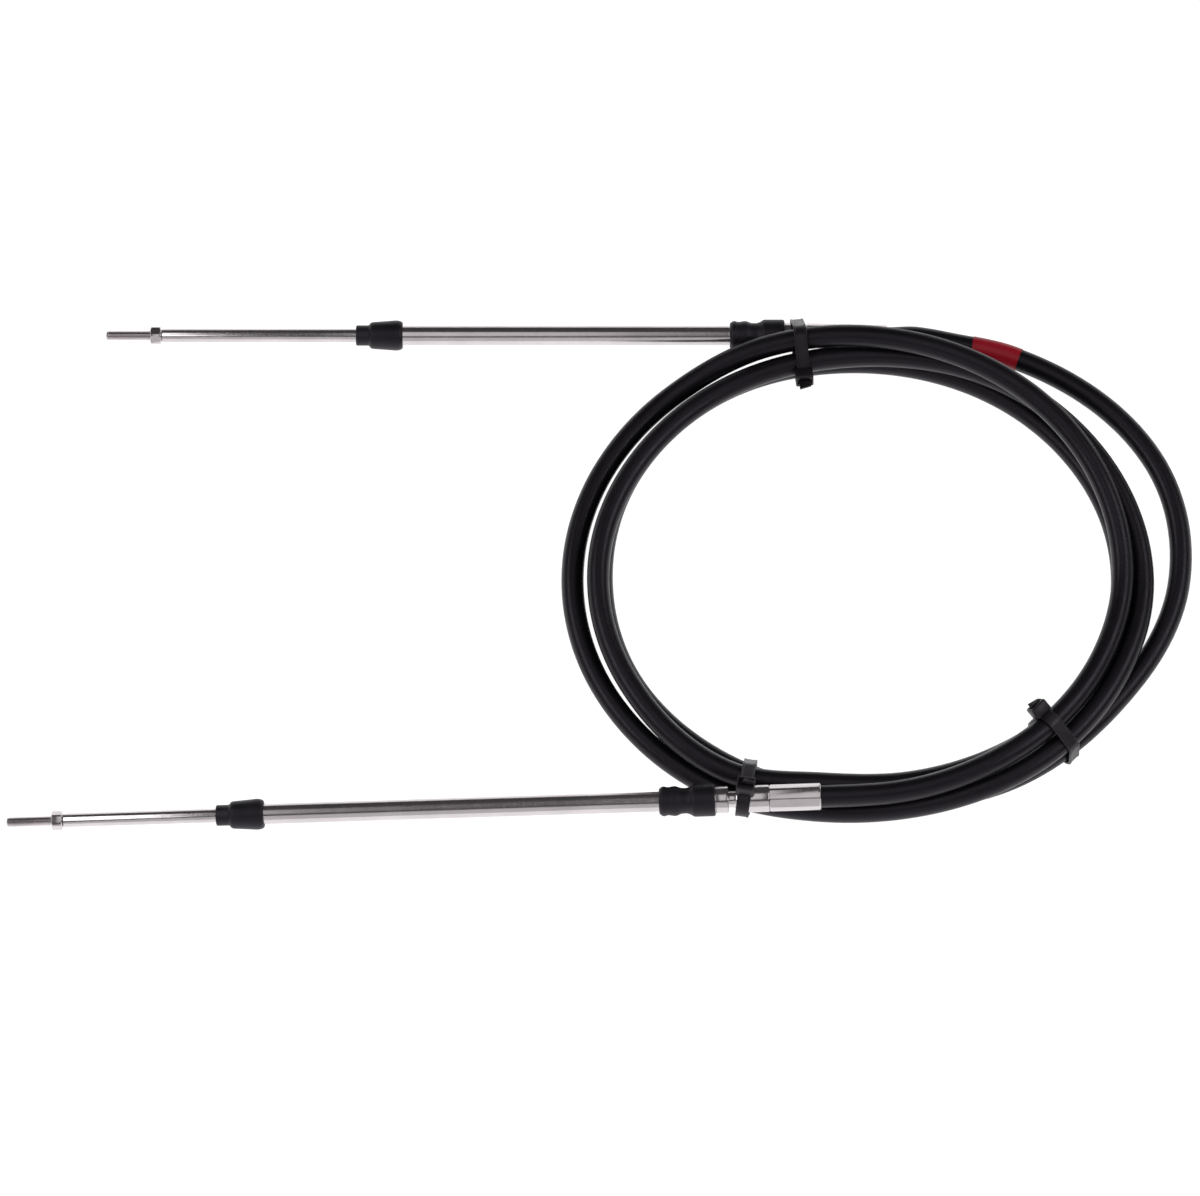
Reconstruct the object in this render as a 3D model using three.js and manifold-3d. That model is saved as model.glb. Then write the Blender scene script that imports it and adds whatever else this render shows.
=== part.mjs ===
// A coiled push-pull control cable: a black conduit in three and a half turns, held by three cable ties,
// with the same sliding rod end on both of its ends. Millimetres, +Z up, lying on a level floor.
import * as THREE from 'three';
import { mergeVertices } from 'three/addons/utils/BufferGeometryUtils.js';
import Module from 'manifold-3d';

const wasm = await Module();
wasm.setup();

// Clearance between pieces that touch
const gap = 0.3;

// Conduit and the way its turns lie
const conduitDiameter = 13;
const conduitSides = 12;
const stationStep = 10;
const leadLength = 9;
const coilCentre = new THREE.Vector2(152, 14);
const coilHalfLength = 144;
const coilHalfWidth = 126;
const floorTurn = conduitDiameter / 2;

// One row for each place where the conduit changes its course in the coil: degrees turned clockwise from
// the +X side, distance outside the inner oval, and height of its centre
const lay = [
  [-78, 27.5, 8.5], [-70, 29.5, 7], [-60, 34.5, floorTurn], [-25, 46, floorTurn], [0, 41, floorTurn],
  [30, 24.5, floorTurn], [60, 17.5, floorTurn], [90, 9, floorTurn], [120, 8, floorTurn],
  [150, 8, floorTurn], [180, 7, floorTurn], [210, 9, floorTurn], [240, 11, floorTurn],
  [270, 9.5, floorTurn], [300, 9, floorTurn], [330, 8, floorTurn], [360, 7.5, floorTurn],
  [390, 6.5, floorTurn], [420, 3.5, 10.5], [440, 5, 19], [460, 6, 20], [480, 15, 19], [510, 12, 19.5],
  [540, 9, 20], [570, 6.5, 20], [600, 7, 19.5], [630, 8, 20], [660, 13, 20], [690, 16, 17.5],
  [720, 19, 14], [745, 19, 18.5], [770, 20, 20.5], [800, 19.5, 18.5], [820, 20, 12.5], [840, 23.5, 7],
  [870, 24.5, 7], [900, 24, floorTurn], [930, 23.5, 7], [950, 24, 7.5], [970, 22, 20.5], [1000, 14, 34],
  [1030, 10.5, 32.5], [1055, 8, 27.5], [1080, 7, 20.5], [1105, 6.5, 23.5], [1135, 9.5, 30],
  [1160, 13, 30.5], [1170, 14.5, 31],
];

// Marker band on the conduit: the station it starts at, its length and its wall
const bandStation = 1;
const bandLength = 28;
const bandInset = 1;
const bandWall = 0.4;

// Rod with its threaded tip
const rodDiameter = 7.9;
const rodBodyLength = 190;
const threadDiameter = 6;
const threadLength = 32.5;
const threadChamfer = 0.8;
const rodChamfer = 0.6;

// Jam nut
const nutAcrossFlats = 10;
const nutThickness = 6.2;
const nutChamferDiameter = 11.05;
const nutChamfer = 0.9;
const nutFaceInset = 0.2;

// Wiper boot at the mouth of the sleeve
const wiperLength = 28;
const wiperCollarDiameter = 12;
const wiperCollarLength = 7.6;
const wiperBodyDiameter = 15.9;
const wiperLipDiameter = 17.8;
const wiperFrontWall = 8;

// Sleeve that the rod slides in, with a ball on its rear end
const sleeveDiameter = 11.6;
const ballDiameter = 13.2;
const boreEndWall = 14;

// Bellows boot over the swivel
const bellowsLength = 32.2;
const bellowsDiameter = 17.2;
const bellowsWaistDiameter = 14.6;
const cuffDiameter = 18.8;
const cuffLength = 12.6;

// Hub crimped on the end of the conduit
const noseDiameter = 15.2;
const noseLength = 10;
const ballSetback = 2.5;
const socketDiameter = 13.8;
const ringDiameter = 15.6;
const ringLength = 7;
const grooveDiameter = 9.5;
const grooveLength = 5.5;
const hubBodyDiameter = 15.6;
const hubBodyLength = 18;
const crimpLength = 29.5;
const crimpAcrossFlats = 14.6;
const crimpSides = 8;
const hubEdge = 0.7;

// Cable ties
const tieWidth = 7.6;
const tieThickness = 1.6;
const tieSlack = 0.4;
const tieHeadWidth = 10.4;
const tieHeadLength = 9;
const tieHeadHeight = 7.5;
const tieTailLength = 5.5;

// Rod travel is shared by the two ends, so what one rod stands out the other has drawn in
const middleExposure = 101.5;
const rodShift = 13;

const turnSteps = 28;
const epsilon = 1e-6;

const rubber = new THREE.MeshStandardMaterial({ color: 0x1d1c20, roughness: 0.55, metalness: 0 });
const jacket = new THREE.MeshStandardMaterial({ color: 0x17171a, roughness: 0.42, metalness: 0 });
const steel = new THREE.MeshStandardMaterial({ color: 0xd8d4d2, roughness: 0.22, metalness: 1 });
const nylon = new THREE.MeshStandardMaterial({ color: 0x1a1a1d, roughness: 0.4, metalness: 0 });
const redBand = new THREE.MeshStandardMaterial({ color: 0xbe1e2d, roughness: 0.5, metalness: 0 });

const radians = THREE.MathUtils.degToRad;

// Solids for the joins and cuts
function toSolid(geometry) {
  const bare = geometry.clone();
  bare.deleteAttribute('normal');
  bare.deleteAttribute('uv');
  const merged = mergeVertices(bare, 1e-4);
  return new wasm.Manifold(new wasm.Mesh({
    numProp: 3,
    vertProperties: new Float32Array(merged.attributes.position.array),
    triVerts: new Uint32Array(merged.index.array),
  }));
}

function toGeometry(solid) {
  const mesh = solid.getMesh();
  const geometry = new THREE.BufferGeometry();
  geometry.setAttribute('position', new THREE.BufferAttribute(mesh.vertProperties, 3));
  geometry.setIndex(new THREE.BufferAttribute(mesh.triVerts, 1));
  geometry.computeVertexNormals();
  return geometry;
}

// A turned piece: points are [distance along +X, radius], in order round the section
function turned(points, steps = turnSteps) {
  const profile = points.map(([along, radius]) => new THREE.Vector2(radius, along));
  const geometry = new THREE.LatheGeometry(profile, steps);
  geometry.rotateZ(-Math.PI / 2);
  return geometry;
}

// A ring or tube section closes on its first point
function closed(points) {
  return [...points, points[0]];
}

// A prism with flat sides along +X, one flat facing +Z
function prism(acrossFlats, sides, length, holeRadius = 0) {
  const corner = acrossFlats / 2 / Math.cos(Math.PI / sides);
  const shape = new THREE.Shape();
  for (let i = 0; i < sides; i += 1) {
    const angle = (i + 0.5) / sides * 2 * Math.PI;
    const x = corner * Math.cos(angle);
    const y = corner * Math.sin(angle);
    if (i === 0) shape.moveTo(x, y);
    else shape.lineTo(x, y);
  }
  shape.closePath();
  if (holeRadius > 0) {
    const hole = new THREE.Path();
    hole.absarc(0, 0, holeRadius, 0, 2 * Math.PI, true);
    shape.holes.push(hole);
  }
  const geometry = new THREE.ExtrudeGeometry(shape, {
    depth: length, bevelEnabled: false, curveSegments: turnSteps,
  });
  geometry.rotateY(Math.PI / 2);
  return geometry;
}

// Smooth value between rows, from the rows on both sides
function between(rows, column, at) {
  let i = 0;
  while (i < rows.length - 2 && rows[i + 1][0] < at) i += 1;
  const slope = (j) => {
    const before = rows[Math.max(j - 1, 0)];
    const after = rows[Math.min(j + 1, rows.length - 1)];
    return (after[column] - before[column]) / (after[0] - before[0]);
  };
  const span = rows[i + 1][0] - rows[i][0];
  const t = (at - rows[i][0]) / span;
  return (2 * t ** 3 - 3 * t ** 2 + 1) * rows[i][column]
    + (t ** 3 - 2 * t ** 2 + t) * span * slope(i)
    + (3 * t ** 2 - 2 * t ** 3) * rows[i + 1][column]
    + (t ** 3 - t ** 2) * span * slope(i + 1);
}

function layPoint(degrees) {
  const outside = between(lay, 1, degrees);
  const angle = radians(degrees);
  return new THREE.Vector3(
    coilCentre.x + (coilHalfLength + outside) * Math.cos(angle),
    coilCentre.y - (coilHalfWidth + outside) * Math.sin(angle),
    between(lay, 2, degrees),
  );
}

// A conduit centreline whose stations are the given points, with upright sections
class Centreline extends THREE.CatmullRomCurve3 {
  getSpacedPoints(divisions) {
    return this.getPoints(divisions);
  }

  computeFrenetFrames(segments) {
    const up = new THREE.Vector3(0, 0, 1);
    const frames = { tangents: [], normals: [], binormals: [] };
    for (let i = 0; i <= segments; i += 1) {
      const before = this.points[Math.max(i - 1, 0)];
      const after = this.points[Math.min(i + 1, segments)];
      const tangent = after.clone().sub(before).normalize();
      const side = new THREE.Vector3().crossVectors(up, tangent).normalize();
      frames.tangents.push(tangent);
      frames.normals.push(side);
      frames.binormals.push(new THREE.Vector3().crossVectors(tangent, side));
    }
    return frames;
  }
}

function section(radius, sides) {
  const shape = new THREE.Shape();
  for (let i = 0; i < sides; i += 1) {
    const angle = i / sides * 2 * Math.PI;
    if (i === 0) shape.moveTo(radius * Math.cos(angle), radius * Math.sin(angle));
    else shape.lineTo(radius * Math.cos(angle), radius * Math.sin(angle));
  }
  shape.closePath();
  return shape;
}

function tube(points, shape) {
  return new THREE.ExtrudeGeometry(shape, {
    steps: points.length - 1, bevelEnabled: false, extrudePath: new Centreline(points),
  });
}

// The two ends: where the swivel's ball is, which way the rod's axis rises and turns, which way the hub
// does, how much of the sleeve shows, and how far the rod is drawn out
const hubLength = ringLength + grooveLength + hubBodyLength + crimpLength;
const hubHeight = ringDiameter / 2;
const ends = [
  {
    name: 'a', ball: new THREE.Vector3(101.4, 166, hubHeight), rodTurn: 0, rodRise: 0, hubTurn: -1.4,
    hubRise: 0, sleeveShown: 192, exposure: middleExposure + rodShift, nutRoll: 50,
  },
  {
    name: 'b', ball: new THREE.Vector3(58.8, -128.5, 27.2), rodTurn: 0.7, rodRise: 3.63, hubTurn: 0.9,
    hubRise: 3, sleeveShown: 226.5, exposure: middleExposure - rodShift, nutRoll: 20,
  },
];

function aimed(end, turn, rise) {
  const group = new THREE.Group();
  group.position.copy(end.ball);
  group.rotation.set(0, -radians(rise), radians(turn), 'ZYX');
  group.updateMatrixWorld(true);
  return group;
}

const model = new THREE.Group();

function place(group, name, geometry, material) {
  const mesh = new THREE.Mesh(geometry, material);
  mesh.name = name;
  group.add(mesh);
  return mesh;
}

// Places along an end's axis, from the ball's centre at 0 towards the hub at +X
const noseFace = -ballSetback;
const ringFace = noseFace + noseLength;
const hubEnd = ringFace + hubLength;
const bellowsRear = ringFace - gap;
const bellowsFront = bellowsRear - bellowsLength;

function rodGeometry(wiperFront, exposure) {
  const shoulder = wiperFront - exposure;
  const tip = shoulder - threadLength;
  const innerEnd = shoulder + rodBodyLength;
  const thread = threadDiameter / 2;
  const rod = rodDiameter / 2;
  return turned([
    [tip, 0], [tip, thread - threadChamfer], [tip + threadChamfer, thread], [shoulder, thread],
    [shoulder, rod - rodChamfer], [shoulder + rodChamfer, rod], [innerEnd - rodChamfer, rod],
    [innerEnd, rod - rodChamfer], [innerEnd, 0],
  ]);
}

function nutGeometry() {
  const face = nutAcrossFlats / 2 - nutFaceInset;
  const corner = nutChamferDiameter / 2;
  const bored = prism(nutAcrossFlats, 6, nutThickness, threadDiameter / 2 + gap);
  const chamfered = turned([
    [0, 0], [0, face], [nutChamfer, corner], [nutThickness - nutChamfer, corner], [nutThickness, face],
    [nutThickness, 0],
  ], 2 * turnSteps);
  return toGeometry(toSolid(bored).intersect(toSolid(chamfered)));
}

function wiperGeometry() {
  const rodBore = rodDiameter / 2 + gap;
  const sleeveBore = sleeveDiameter / 2 + gap;
  const collar = wiperCollarDiameter / 2;
  const body = wiperBodyDiameter / 2;
  const lip = wiperLipDiameter / 2;
  return turned(closed([
    [0, rodBore], [0, collar - 0.8], [0.8, collar], [wiperCollarLength, collar],
    [wiperCollarLength + 0.7, body - 0.6], [wiperCollarLength + 1.6, body],
    [wiperLength * 0.6, body + 0.45], [wiperLength * 0.8, lip], [wiperLength * 0.88, lip],
    [wiperLength * 0.95, lip - 0.5], [wiperLength, lip - 1.6], [wiperLength - 0.8, sleeveBore],
    [wiperFrontWall, sleeveBore], [wiperFrontWall, rodBore],
  ]));
}

function sleeveGeometry(front) {
  const outer = sleeveDiameter / 2;
  const bore = rodDiameter / 2 + gap;
  const ball = ballDiameter / 2;
  const neck = -Math.sqrt(ball ** 2 - outer ** 2);
  const arc = [];
  const arcSteps = 10;
  const first = Math.atan2(outer, neck);
  for (let i = 0; i <= arcSteps; i += 1) {
    const angle = first * (1 - i / arcSteps);
    arc.push([ball * Math.cos(angle), i === arcSteps ? 0 : ball * Math.sin(angle)]);
  }
  return turned([
    [-boreEndWall, 0], [-boreEndWall, bore], [front, bore], [front, outer - 0.4], [front + 0.4, outer],
    ...arc,
  ]);
}

function bellowsGeometry() {
  const bore = sleeveDiameter / 2 + gap;
  const noseBore = noseDiameter / 2 + gap;
  const noseSeat = noseFace - gap;
  const hump = bellowsDiameter / 2;
  const waist = bellowsWaistDiameter / 2;
  const cuff = cuffDiameter / 2;
  const cuffFront = bellowsRear - cuffLength;
  const x = bellowsFront;
  return turned(closed([
    [x, bore], [x, hump - 1.5], [x + 0.9, hump - 0.7], [x + 2.6, hump], [x + 4, hump - 0.4],
    [x + 5.8, hump - 0.5], [x + 7.6, hump - 0.1], [x + 9.2, hump], [x + 11, hump - 0.6],
    [x + 13.4, waist + 0.1], [x + 15, waist], [x + 16.8, waist + 0.3], [cuffFront - 0.9, cuff - 0.8],
    [cuffFront, cuff], [bellowsRear - 0.9, cuff], [bellowsRear, cuff - 0.8], [bellowsRear, noseBore],
    [noseSeat, noseBore], [noseSeat, bore],
  ]));
}

function hubGeometry() {
  const nose = noseDiameter / 2;
  const ring = ringDiameter / 2;
  const groove = grooveDiameter / 2;
  const body = hubBodyDiameter / 2;
  const socket = socketDiameter / 2;
  const grooveFace = ringFace + ringLength;
  const bodyFace = grooveFace + grooveLength;
  const crimpFace = bodyFace + hubBodyLength;
  const pocket = [];
  const pocketSteps = 8;
  const mouth = Math.acos(noseFace / socket);
  for (let i = 0; i <= pocketSteps; i += 1) {
    const angle = mouth * i / pocketSteps;
    pocket.push([socket * Math.cos(angle), i === 0 ? 0 : socket * Math.sin(angle)]);
  }
  const round = turned([
    ...pocket, [noseFace, nose - hubEdge], [noseFace + hubEdge, nose], [ringFace, nose],
    [ringFace, ring - hubEdge], [ringFace + hubEdge, ring], [grooveFace - hubEdge, ring],
    [grooveFace, ring - hubEdge], [grooveFace, groove], [bodyFace, groove], [bodyFace, body - hubEdge],
    [bodyFace + hubEdge, body], [crimpFace - hubEdge, body], [crimpFace, body - hubEdge],
    [crimpFace, crimpAcrossFlats / 2 - hubEdge], [crimpFace + hubEdge, crimpAcrossFlats / 2 - hubEdge],
    [crimpFace + hubEdge, 0],
  ]);
  const crimp = prism(crimpAcrossFlats, crimpSides, crimpLength);
  crimp.translate(crimpFace, 0, 0);
  return toGeometry(toSolid(round).add(toSolid(crimp)));
}

for (const end of ends) {
  const rodGroup = aimed(end, end.rodTurn, end.rodRise);
  const hubGroup = aimed(end, end.hubTurn, end.hubRise);
  const wiperRear = bellowsFront - end.sleeveShown;
  const wiperFront = wiperRear - wiperLength;
  const nutRear = wiperFront - end.exposure - gap;
  place(rodGroup, `rod_${end.name}`, rodGeometry(wiperFront, end.exposure), steel);
  const nut = place(rodGroup, `jam_nut_${end.name}`, nutGeometry(), steel);
  nut.position.x = nutRear - nutThickness;
  nut.rotation.x = radians(end.nutRoll);
  const wiper = place(rodGroup, `wiper_boot_${end.name}`, wiperGeometry(), rubber);
  wiper.position.x = wiperFront;
  place(rodGroup, `sleeve_${end.name}`, sleeveGeometry(wiperFront + wiperFrontWall + gap), steel);
  place(rodGroup, `swivel_boot_${end.name}`, bellowsGeometry(), rubber);
  place(hubGroup, `hub_${end.name}`, hubGeometry(), steel);
  model.add(rodGroup, hubGroup);
  end.hubGroup = hubGroup;
}

// Conduit, from the face of hub a round the coil to the face of hub b
function fromHub(end, distance) {
  return new THREE.Vector3(hubEnd + gap + distance, 0, 0).applyMatrix4(end.hubGroup.matrixWorld);
}

const [endA, endB] = ends;
const lastTurn = lay[lay.length - 1][0];
const stations = [];
for (let degrees = lay[0][0]; degrees <= lastTurn + epsilon; degrees += stationStep) {
  stations.push(layPoint(degrees));
}
const route = [
  fromHub(endA, 0), fromHub(endA, leadLength), ...stations, fromHub(endB, leadLength), fromHub(endB, 0),
];
place(model, 'conduit', tube(route, section(conduitDiameter / 2, conduitSides)), jacket);

const bandBore = conduitDiameter / 2 + gap;
const bandShape = section(bandBore + bandWall, conduitSides);
bandShape.holes.push(new THREE.Path(section(bandBore, conduitSides).getPoints().reverse()));
const bandCourse = stations[bandStation + 1].clone().sub(stations[bandStation]).normalize();
const bandFront = stations[bandStation].clone().addScaledVector(bandCourse, bandInset);
const bandBack = bandFront.clone().addScaledVector(bandCourse, bandLength);
place(model, 'marker_band', tube([bandFront, bandBack], bandShape), redBand);

// Cable ties: the place and turn of each loop's plane, the hub that it holds with the turns, how far out
// that plane takes in a turn, and where round the loop its head sits
const ties = [
  { name: 'a', centre: new THREE.Vector2(117.5, 155), turn: 5.3, hub: endA, reach: 30, headAt: 150 },
  { name: 'b', centre: new THREE.Vector2(261.3, -85), turn: 41, hub: null, reach: 40, headAt: 30 },
  { name: 'c', centre: new THREE.Vector2(83, -124), turn: -8.5, hub: endB, reach: 34, headAt: 75 },
];

// Circles that a tie goes round, as [across, up, radius], at its middle and at both edges of its band
function circlesAt(tie) {
  const along = new THREE.Vector2(Math.cos(radians(tie.turn)), Math.sin(radians(tie.turn)));
  const across = new THREE.Vector2(-along.y, along.x);
  const flat = (point) => new THREE.Vector2(point.x, point.y).sub(tie.centre);
  const circles = [];
  const crossing = (from, to, radius) => {
    for (const edge of [-tieWidth / 2, 0, tieWidth / 2]) {
      const before = flat(from).dot(along) - edge;
      const after = flat(to).dot(along) - edge;
      if (before * after > 0) continue;
      const at = from.clone().lerp(to, before / (before - after));
      const side = flat(at).dot(across);
      if (Math.abs(side) < tie.reach) circles.push([side, at.z, radius]);
    }
  };
  for (let i = 0; i < route.length - 1; i += 1) crossing(route[i], route[i + 1], conduitDiameter / 2);
  if (tie.hub) {
    const front = new THREE.Vector3(ringFace, 0, 0).applyMatrix4(tie.hub.hubGroup.matrixWorld);
    crossing(front, fromHub(tie.hub, 0), ringDiameter / 2);
  }
  return circles;
}

// The taut outline round the circles, as points in order
function tautOutline(circles, offset) {
  const points = [];
  for (const [x, y, radius] of circles) {
    for (let i = 0; i < 36; i += 1) {
      const angle = i / 18 * Math.PI;
      points.push([x + (radius + offset) * Math.cos(angle), y + (radius + offset) * Math.sin(angle)]);
    }
  }
  points.sort((p, q) => p[0] - q[0] || p[1] - q[1]);
  const turnOf = (o, p, q) => (p[0] - o[0]) * (q[1] - o[1]) - (p[1] - o[1]) * (q[0] - o[0]);
  const half = (list) => {
    const chain = [];
    for (const point of list) {
      while (chain.length > 1 && turnOf(chain[chain.length - 2], chain[chain.length - 1], point) <= epsilon) {
        chain.pop();
      }
      chain.push(point);
    }
    chain.pop();
    return chain;
  };
  return [...half(points), ...half(points.reverse())].map(([x, y]) => new THREE.Vector2(x, y));
}

function tieGeometry(circles, headAt) {
  const inner = tautOutline(circles, tieSlack);
  const outer = tautOutline(circles, tieSlack + tieThickness);
  const shape = new THREE.Shape(outer);
  shape.holes.push(new THREE.Path([...inner].reverse()));
  const loop = new THREE.ExtrudeGeometry(shape, { depth: tieWidth, bevelEnabled: false });
  loop.translate(0, 0, -tieWidth / 2);
  const facing = new THREE.Vector2(Math.cos(radians(headAt)), Math.sin(radians(headAt)));
  const seat = inner.reduce((best, point) => (point.dot(facing) > best.dot(facing) ? point : best));
  const head = new THREE.BoxGeometry(tieHeadHeight, tieHeadLength, tieHeadWidth);
  head.translate(tieHeadHeight / 2, 0, 0);
  const tail = new THREE.BoxGeometry(tieTailLength + tieHeadHeight / 2, tieThickness, tieWidth);
  tail.translate(tieHeadHeight + tieTailLength / 2 - tieHeadHeight / 4, 0, 0);
  let solid = toSolid(loop);
  for (const block of [head, tail]) {
    block.rotateZ(radians(headAt));
    block.translate(seat.x, seat.y, 0);
    solid = solid.add(toSolid(block));
  }
  return toGeometry(solid);
}

for (const tie of ties) {
  const mesh = place(model, `cable_tie_${tie.name}`, tieGeometry(circlesAt(tie), tie.headAt), nylon);
  const along = new THREE.Vector3(Math.cos(radians(tie.turn)), Math.sin(radians(tie.turn)), 0);
  const across = new THREE.Vector3(-along.y, along.x, 0);
  mesh.matrixAutoUpdate = false;
  mesh.matrix.makeBasis(across, new THREE.Vector3(0, 0, 1), along);
  mesh.matrix.setPosition(tie.centre.x, tie.centre.y, 0);
}

// The origin is at the middle of the bottom of the whole part
model.updateMatrixWorld(true);
const box = new THREE.Box3().setFromObject(model, true);
const middle = box.getCenter(new THREE.Vector3());
model.position.set(-middle.x, -middle.y, -box.min.z);
model.updateMatrixWorld(true);

export default model;
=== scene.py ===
import math

import bmesh
import bpy
from mathutils import Matrix, Vector


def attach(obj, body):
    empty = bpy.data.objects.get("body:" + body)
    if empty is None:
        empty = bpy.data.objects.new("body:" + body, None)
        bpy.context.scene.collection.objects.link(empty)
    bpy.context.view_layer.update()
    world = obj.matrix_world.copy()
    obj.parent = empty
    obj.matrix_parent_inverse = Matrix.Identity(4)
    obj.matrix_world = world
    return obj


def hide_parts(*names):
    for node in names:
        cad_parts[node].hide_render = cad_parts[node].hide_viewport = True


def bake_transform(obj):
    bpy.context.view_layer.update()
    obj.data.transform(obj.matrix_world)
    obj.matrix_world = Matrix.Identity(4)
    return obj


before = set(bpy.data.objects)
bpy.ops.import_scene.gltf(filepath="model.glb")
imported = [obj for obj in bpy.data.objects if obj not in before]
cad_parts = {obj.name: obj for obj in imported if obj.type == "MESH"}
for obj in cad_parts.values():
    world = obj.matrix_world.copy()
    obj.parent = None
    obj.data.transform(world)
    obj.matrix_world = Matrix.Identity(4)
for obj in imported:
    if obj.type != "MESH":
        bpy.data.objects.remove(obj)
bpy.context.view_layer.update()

mm = 0.001
gap = 0.3  # clearance between pieces that touch, in mm
mergeDistance = 0.000005
axisRadius = 0.01  # stands for a point on the axis in a turned outline, in mm


def tidySelection():
    if bpy.context.object and bpy.context.object.mode != "OBJECT":
        bpy.ops.object.mode_set(mode="OBJECT")
    bpy.ops.object.select_all(action="DESELECT")


def pick(piece):
    tidySelection()
    piece.select_set(True)
    bpy.context.view_layer.objects.active = piece


def bakePlace(piece):
    pick(piece)
    bpy.ops.object.transform_apply(location=True, rotation=True, scale=True)


def applyModifier(piece, kind, **settings):
    pick(piece)
    modifier = piece.modifiers.new(kind.title(), kind)
    for key, value in settings.items():
        setattr(modifier, key, value)
    bpy.ops.object.modifier_apply(modifier=modifier.name)


def smooth(piece, degrees=35):
    pick(piece)
    bpy.ops.object.shade_smooth_by_angle(angle=math.radians(degrees))


def outward(piece):
    pick(piece)
    bpy.ops.object.mode_set(mode="EDIT")
    bpy.ops.mesh.select_all(action="SELECT")
    bpy.ops.mesh.remove_doubles(threshold=mergeDistance)
    bpy.ops.mesh.normals_make_consistent(inside=False)
    bpy.ops.object.mode_set(mode="OBJECT")


def joined(first, *others):
    pick(first)
    for other in others:
        other.select_set(True)
    bpy.ops.object.join()
    return bpy.context.object


def dressPiece(piece, name, material, slot, *nodes):
    piece.name = name
    piece.data.name = name
    piece.data.materials.clear()
    piece.data.materials.append(material)
    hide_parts(*nodes)


def finishPiece(piece, name, body, material, slot, *nodes):
    dressPiece(piece, name, material, slot, *nodes)
    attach(piece, body)


# Materials

violet = (0.95, 0.84, 1)  # tint of the shine on the black plastics and rubbers
patternLow, patternHigh = 0.3, 0.7  # a noise pattern has most of its values between these


def nodesOf(material):
    tree = material.node_tree
    return tree.nodes, tree.links, tree.nodes["Principled BSDF"]


def plainMaterial(name, colour, roughness, metallic=0.0, specular=0.5, tint=(1, 1, 1)):
    material = bpy.data.materials.new(name)
    material.use_nodes = True
    shader = nodesOf(material)[2]
    shader.inputs["Base Color"].default_value = (*colour, 1)
    shader.inputs["Roughness"].default_value = roughness
    shader.inputs["Metallic"].default_value = metallic
    shader.inputs["Specular IOR Level"].default_value = specular
    shader.inputs["Specular Tint"].default_value = (*tint, 1)
    return material


def addPattern(material, scale, stretch=(1, 1, 1), turn=(0, 0, 0), detail=4.0):
    nodes, links, shader = nodesOf(material)
    coordinates = nodes.new("ShaderNodeTexCoord")
    mapping = nodes.new("ShaderNodeMapping")
    mapping.inputs["Scale"].default_value = stretch
    mapping.inputs["Rotation"].default_value = turn
    noise = nodes.new("ShaderNodeTexNoise")
    noise.inputs["Scale"].default_value = scale
    noise.inputs["Detail"].default_value = detail
    links.new(coordinates.outputs["Object"], mapping.inputs["Vector"])
    links.new(mapping.outputs["Vector"], noise.inputs["Vector"])
    return noise.outputs["Fac"]


def varyColour(material, factor, low, high):
    nodes, links, shader = nodesOf(material)
    ramp = nodes.new("ShaderNodeValToRGB")
    ramp.color_ramp.elements[0].position = patternLow
    ramp.color_ramp.elements[1].position = patternHigh
    ramp.color_ramp.elements[0].color = (*low, 1)
    ramp.color_ramp.elements[1].color = (*high, 1)
    links.new(factor, ramp.inputs["Fac"])
    links.new(ramp.outputs["Color"], shader.inputs["Base Color"])


def varyRoughness(material, factor, low, high):
    nodes, links, shader = nodesOf(material)
    spread = nodes.new("ShaderNodeMapRange")
    spread.inputs["From Min"].default_value = patternLow
    spread.inputs["From Max"].default_value = patternHigh
    spread.inputs["To Min"].default_value = low
    spread.inputs["To Max"].default_value = high
    links.new(factor, spread.inputs["Value"])
    links.new(spread.outputs["Result"], shader.inputs["Roughness"])


def addBump(material, factor, strength, distance):
    nodes, links, shader = nodesOf(material)
    bump = nodes.new("ShaderNodeBump")
    bump.inputs["Strength"].default_value = strength
    bump.inputs["Distance"].default_value = distance
    links.new(factor, bump.inputs["Height"])
    links.new(bump.outputs["Normal"], shader.inputs["Normal"])


def jacketMaterial():
    # satin black plastic, drawn a little unevenly, with some handling dust
    material = plainMaterial("jacketBlack", (0.006, 0.0056, 0.0074), 0.36, specular=0.3, tint=violet)
    dust = addPattern(material, 18)
    varyColour(material, dust, (0.0042, 0.0038, 0.0052), (0.008, 0.0074, 0.0096))
    drawn = addPattern(material, 140, detail=5)
    varyRoughness(material, drawn, 0.32, 0.42)
    addBump(material, drawn, 0.05, 0.0002)
    return material


def bootMaterial():
    # moulded rubber with a fine grain
    material = plainMaterial("bootRubber", (0.007, 0.0064, 0.0086), 0.5, specular=0.35, tint=violet)
    bloom = addPattern(material, 60)
    varyColour(material, bloom, (0.005, 0.0045, 0.0062), (0.0095, 0.0085, 0.0115))
    varyRoughness(material, bloom, 0.4, 0.55)
    addBump(material, addPattern(material, 1600, detail=3), 0.15, 0.0002)
    return material


def steelMaterial(name, rise, turn):
    # drawn stainless with fine turning marks round the axis
    material = plainMaterial(name, (0.63, 0.585, 0.6), 0.2, 1.0)
    axisTurn = (0, math.radians(rise), -math.radians(turn))
    marks = addPattern(material, 1, (5200, 160, 160), axisTurn, detail=3)
    handling = addPattern(material, 45, detail=3)
    varyColour(material, handling, (0.59, 0.55, 0.565), (0.68, 0.635, 0.65))
    varyRoughness(material, marks, 0.15, 0.26)
    addBump(material, marks, 0.05, 0.0001)
    return material


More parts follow.
